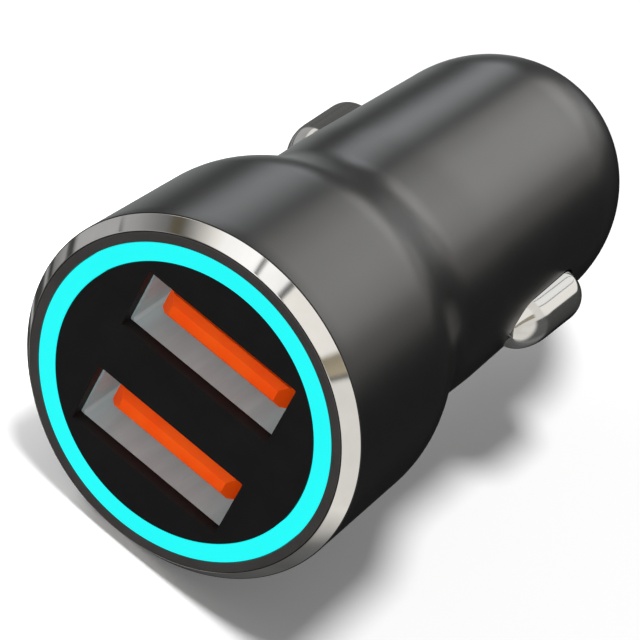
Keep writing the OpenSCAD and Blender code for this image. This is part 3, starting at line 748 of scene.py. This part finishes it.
# Cards round the part's axis, as its bright metal shows them: from and to in degrees from +X towards +Z,
# the level at both ends and a tint. One ring stands ahead of the part, one beside it and one behind it.
# Cards closer than two edges run into each other, and a gap level shows between the rest.
PLAIN = (1.0, 1.0, 1.0)
WARM = (1.0, 0.975, 0.93)
BROWN = (1.0, 0.87, 0.62)
CARDS_AHEAD = (
    (-178, -158, 0.43, 0.42, PLAIN),
    (-68, -56, 0.10, 0.13, PLAIN),
    (-53, -33, 0.19, 0.85, WARM),
    (-30, 32, 0.77, 0.78, WARM),
    (36, 45, 0.42, 0.28, BROWN),
    (48, 84.5, 0.92, 0.96, WARM),
    (89.5, 103, 1.05, 1.15, PLAIN),
    (107, 127, 1.20, 1.08, PLAIN),
    (130, 147, 0.98, 0.20, WARM),
    (150, 154, 0.11, 0.12, BROWN),
    (157, 178, 0.17, 0.41, PLAIN),
)
CARDS_BESIDE = (
    (-178, -158, 0.43, 0.42, PLAIN),
    (-152, -145, 0.34, 0.22, PLAIN),
    (-140, -139, 0.38, 0.38, PLAIN),
    (-128, -126, 0.42, 0.42, PLAIN),
    (-98, -73, 0.06, 0.10, PLAIN),
    (-70, -52, 0.09, 0.15, PLAIN),
    (-49, -36, 0.20, 0.14, PLAIN),
    (-34, 18, 0.12, 0.12, PLAIN),
    (21, 125, 0.80, 0.80, WARM),
    (128, 139, 0.40, 0.40, PLAIN),
    (141.5, 156, 1.0, 0.9, WARM),
    (158.5, 179, 0.42, 0.42, PLAIN),
)
CARDS_BEHIND = (
    (-178, -124, 0.12, 0.12, PLAIN),
    (-62, 18, 0.04, 0.08, PLAIN),
    (21, 57, 0.98, 1.0, WARM),
    (61, 86, 0.95, 0.98, PLAIN),
    (90, 106, 0.95, 0.9, PLAIN),
    (124, 178, 0.12, 0.12, PLAIN),
)
CARD_EDGE = 1.5
GAP_AHEAD = 0.10
GAP_BESIDE = 0.05
GAP_BEHIND = 0.01
SIDE_RISE = 0.20


def math_node(tree, operation, *values):
    """Result of an operation on sockets or numbers."""
    node = tree.nodes.new("ShaderNodeMath")
    node.operation = operation
    for socket, value in zip(node.inputs, values):
        if isinstance(value, (int, float)):
            socket.default_value = value
        else:
            tree.links.new(value, socket)
    return node.outputs[0]


def seen_directly(tree, *rays):
    """1 for rays of the named kinds, 0 for the rest."""
    path = tree.nodes.new("ShaderNodeLightPath")
    total = 0.0
    for ray in rays:
        total = math_node(tree, "MAXIMUM", total, path.outputs[ray])
    return total


def card_ring(tree, turn, cards, gap):
    """Colour of a ring of cards by the turn, which runs from 0 at -180 degrees to 1 at 180."""
    stops = []
    reached = -180.0
    for first, last, level_in, level_out, colour in cards:
        if first - reached > 2 * CARD_EDGE:
            stops.append((first - CARD_EDGE, (gap,) * 3))
        stops.append((first, tuple(level_in * c for c in colour)))
        stops.append((last, tuple(level_out * c for c in colour)))
        reached = last
        if not any(last < card[0] <= last + 2 * CARD_EDGE for card in cards) and last + CARD_EDGE < 180:
            stops.append((last + CARD_EDGE, (gap,) * 3))
    node = tree.nodes.new("ShaderNodeValToRGB")
    elements = node.color_ramp.elements
    elements.remove(elements[1])
    for number, (angle, colour) in enumerate(stops):
        place = (angle + 180) / 360
        element = elements[0] if number == 0 else elements.new(place)
        element.position = place
        element.color = (*colour, 1)
    tree.links.new(turn, node.inputs["Fac"])
    return node.outputs["Color"]


def blend_colours(tree, share, first, second):
    """The first colour where the share is 0 and the second where it is 1."""
    mix = tree.nodes.new("ShaderNodeMix")
    mix.data_type = "RGBA"
    for key, value in (("Factor", share), ("A", first), ("B", second)):
        socket = next(i for i in mix.inputs if i.name == key and i.enabled)
        if isinstance(value, tuple):
            socket.default_value = value
        else:
            tree.links.new(value, socket)
    return next(o for o in mix.outputs if o.enabled)


def step_between(tree, value, low, high):
    """Smooth step of a value from 0 at low to 1 at high."""
    node = tree.nodes.new("ShaderNodeMapRange")
    node.interpolation_type = "SMOOTHSTEP"
    node.inputs["From Min"].default_value = low
    node.inputs["From Max"].default_value = high
    tree.links.new(value, node.inputs["Value"])
    return node.outputs["Result"]


def make_world():
    """White where it is seen, cards where it is mirrored, and a soft grey fill for all that it lights."""
    world = bpy.data.worlds.new("studio")
    bpy.context.scene.world = world
    world.use_nodes = True
    world.cycles.sampling_method = "NONE"
    tree = world.node_tree
    place = tree.nodes.new("ShaderNodeTexCoord")
    axes = tree.nodes.new("ShaderNodeSeparateXYZ")
    tree.links.new(place.outputs["Generated"], axes.inputs["Vector"])
    angle = math_node(tree, "ARCTAN2", axes.outputs["Z"], axes.outputs["X"])
    turn = math_node(tree, "MULTIPLY_ADD", angle, 1 / (2 * math.pi), 0.5)
    ahead = card_ring(tree, turn, CARDS_AHEAD, GAP_AHEAD)
    beside = card_ring(tree, turn, CARDS_BESIDE, GAP_BESIDE)
    behind = card_ring(tree, turn, CARDS_BEHIND, GAP_BEHIND)
    rise = math_node(tree, "MULTIPLY", math_node(tree, "MAXIMUM", axes.outputs["X"], 0.0), SIDE_RISE)
    level = math_node(tree, "SUBTRACT", axes.outputs["Y"], rise)
    cards = blend_colours(tree, step_between(tree, level, -0.12, 0.12), ahead, beside)
    cards = blend_colours(tree, step_between(tree, axes.outputs["Y"], 0.62, 0.72), cards, behind)
    plain = (AMBIENT, AMBIENT, AMBIENT, 1)
    lit = blend_colours(tree, seen_directly(tree, "Is Glossy Ray"), plain, cards)
    seen = seen_directly(tree, "Is Camera Ray", "Is Transmission Ray")
    tree.links.new(blend_colours(tree, seen, lit, (1, 1, 1, 1)), tree.nodes["Background"].inputs["Color"])


def make_floor():
    """White ground that keeps the soft shadow."""
    size = 3000
    floor = mesh_piece("ground", [(-size, -size, -HEAD_R), (size, -size, -HEAD_R), (size, size, -HEAD_R),
                                  (-size, size, -HEAD_R)], [[0, 1, 2, 3]])
    material, tree, shader = new_material("ground_white", (FLOOR_ALBEDO,) * 3, 0.9, Specular_IOR_Level=0.0)
    shader.inputs["Emission Color"].default_value = (1, 1, 1, 1)
    lift = remap(tree, seen_directly(tree, "Is Camera Ray", "Is Transmission Ray"), 0.0, FLOOR_LIFT)
    tree.links.new(lift, shader.inputs["Emission Strength"])
    floor.data.materials.append(material)
    floor.visible_glossy = False
    floor.visible_shadow = False
    return floor


def aim(lamp, direction, distance, roll=0.0):
    """Puts a lamp at a distance along a direction from the part's middle, and turns it towards there."""
    middle = Vector((0, 24, 0))
    away = Vector(direction).normalized()
    lamp.location = (middle + away * distance) * MM
    lamp.rotation_mode = "QUATERNION"
    lamp.rotation_quaternion = away.to_track_quat("Z", "Y") @ Quaternion((0, 0, 1), math.radians(roll))


def make_sun():
    """Soft key from above and a little from the left."""
    data = bpy.data.lights.new("key", "SUN")
    data.energy = KEY_LEVEL
    data.angle = math.radians(15)
    lamp = bpy.data.objects.new("key", data)
    bpy.context.scene.collection.objects.link(lamp)
    aim(lamp, (-0.135, -0.12, 0.98), 1000)
    lamp.visible_glossy = False


def light_only(lamp, pieces):
    """The lamp lights these pieces and nothing else."""
    lit = bpy.data.collections.new(lamp.name)
    for piece in pieces:
        lit.objects.link(piece)
    lamp.light_linking.receiver_collection = lit


def make_fill(name, direction, level, pieces):
    """Shadowless sun that lights only the given pieces."""
    data = bpy.data.lights.new(name, "SUN")
    data.energy = level
    data.angle = math.radians(60)
    data.use_shadow = False
    lamp = bpy.data.objects.new(name, data)
    bpy.context.scene.collection.objects.link(lamp)
    aim(lamp, direction, 1000)
    lamp.visible_glossy = False
    light_only(lamp, pieces)


def make_softbox(name, direction, width, height, radiance, colour, roll, pieces):
    """Rectangular lamp that only makes highlights on the given pieces; they mirror its radiance."""
    distance = 1200
    data = bpy.data.lights.new(name, "AREA")
    data.shape = "RECTANGLE"
    data.size = width * MM
    data.size_y = height * MM
    data.energy = radiance * math.pi * width * height * MM * MM
    data.color = colour
    lamp = bpy.data.objects.new(name, data)
    bpy.context.scene.collection.objects.link(lamp)
    aim(lamp, direction, distance, roll)
    lamp.visible_camera = False
    lamp.visible_diffuse = False
    light_only(lamp, pieces)


def make_strip(floor):
    """Low strip lamp on the left that keeps the ground beside the head white, as in the photograph."""
    width, length = 12, 60
    place = Vector((-36, 20, 2))
    foot = Vector((-8, 20, -HEAD_R))
    data = bpy.data.lights.new("left_strip", "AREA")
    data.shape = "RECTANGLE"
    data.size = width * MM
    data.size_y = length * MM
    data.energy = STRIP_RADIANCE * math.pi * width * length * MM * MM
    lamp = bpy.data.objects.new("left_strip", data)
    bpy.context.scene.collection.objects.link(lamp)
    back = (place - foot).normalized()
    along = Vector((0, 1, 0))
    lamp.matrix_world = (Matrix.Translation(place * MM)
                         @ Matrix((along.cross(back), along, back)).transposed().to_4x4())
    lamp.visible_camera = False
    lamp.visible_glossy = False
    light_only(lamp, [floor])


# Assembly

dressed = []


def dress(piece, body, slot, material, *nodes):
    """A new piece gets its finish, its body and the nodes that it stands for."""
    dressed.append(piece)
    piece.data.materials.clear()
    piece.data.materials.append(material)
    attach(piece, body)
    if nodes:
        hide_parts(*nodes)


def paint(material, *nodes):
    """A CAD node that is shown as it is gets its finish."""
    for node in nodes:
        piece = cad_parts[node]
        piece.data.materials.clear()
        piece.data.materials.append(material)
        piece.data.shade_smooth()
        piece.data.set_sharp_from_angle(angle=math.radians(30))


make_camera()
ground = make_floor()
make_world()
make_sun()
chrome = polished_chrome()
nickel = nickel_plate()
wire = spring_wire()

housing = make_housing()
dress(housing, "charger", "black_shell", satin_black(), "housing")
dress(make_bezel(), "charger", "bright_bezel", chrome, "chrome_bezel")
dress(make_front_frame(), "charger", "dark_rim", rim_grey(), "front_frame")
glow = make_light_guide()
glow.visible_diffuse = False
dress(glow, "charger", "light_ring", lit_cyan(), "light_guide")
dress(make_face_plate(), "charger", "face_black", matte_black(), "face_plate")
dress(make_side_contact(-1), "left_contact", "nickel_contact", nickel, "side_contact_left")
dress(make_side_contact(1), "right_contact", "nickel_contact", nickel, "side_contact_right")
dress(make_tip(), "tip", "nickel_contact", nickel, "centre_tip")

# The shells' steel carries a painted blue tint against the tongues' orange bounce light.
paint(steel_tinted_against_bounce(), "usb_shell_upper", "usb_shell_lower")
paint(orange_plastic(), "usb_tongue_upper", "usb_tongue_lower")
paint(gold_plate(), "usb_pins_upper", "usb_pins_lower")
paint(solder_mask(), "port_board", "main_board")
paint(diode_white(), "leds")
paint(ferrite_grey(), "inductor_core")
paint(copper_wire(), "inductor_winding")
paint(can_aluminium(), "input_capacitor", "output_capacitor")
paint(chip_black(), "converter_chip", "protocol_chip", "rectifier_diode")
paint(ceramic_beige(), "input_fuse", "chip_parts")
paint(stamped_brass(), "ground_terminal_left", "ground_terminal_right", "positive_terminal")

# Each spring stands on its seat and gets a mesh of its own; the share of its length left when pressed is
# worked out but not used.
for side, label in ((-1, "left"), (1, "right")):
    coil, pressed = make_contact_spring(side)
    dress(coil, "charger", "spring_steel", wire, f"contact_spring_{label}")
    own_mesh(coil)
coil, pressed = make_tip_spring()
dress(coil, "charger", "spring_steel", wire, "tip_spring")
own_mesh(coil)

shells = [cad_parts[node] for node in ("usb_shell_upper", "usb_shell_lower")]
tongues = [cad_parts[node] for node in ("usb_tongue_upper", "usb_tongue_lower")]
make_fill("shell_fill", (0.42, -0.55, 0.72), 3.6, shells)
make_fill("tongue_fill", (-0.12, -0.90, 0.42), 1.75, tongues)
make_fill("front_fill", (0.20, -0.85, 0.50), 1.0, dressed)
make_softbox("over_nose", direction=(0.055, 0.85, 0.522), width=1000, height=600, radiance=2.5,
             colour=(1.0, 0.985, 0.955), roll=-19.0, pieces=[housing])
make_softbox("behind_nose", direction=(0.0, 0.99, 0.05), width=420, height=300, radiance=0.5,
             colour=(1.0, 1.0, 1.0), roll=0.0, pieces=[housing])
make_softbox("left_box", direction=(-0.56, 0.80, 0.235), width=350, height=420, radiance=2.15,
             colour=(0.95, 0.98, 1.0), roll=0.0, pieces=[housing])
make_softbox("left_edge", direction=(-0.43, 0.80, -0.43), width=420, height=420, radiance=0.5,
             colour=(0.93, 1.0, 0.97), roll=0.0, pieces=[housing])
make_strip(ground)

bpy.context.scene.view_settings.view_transform = "Standard"
bpy.context.view_layer.update()
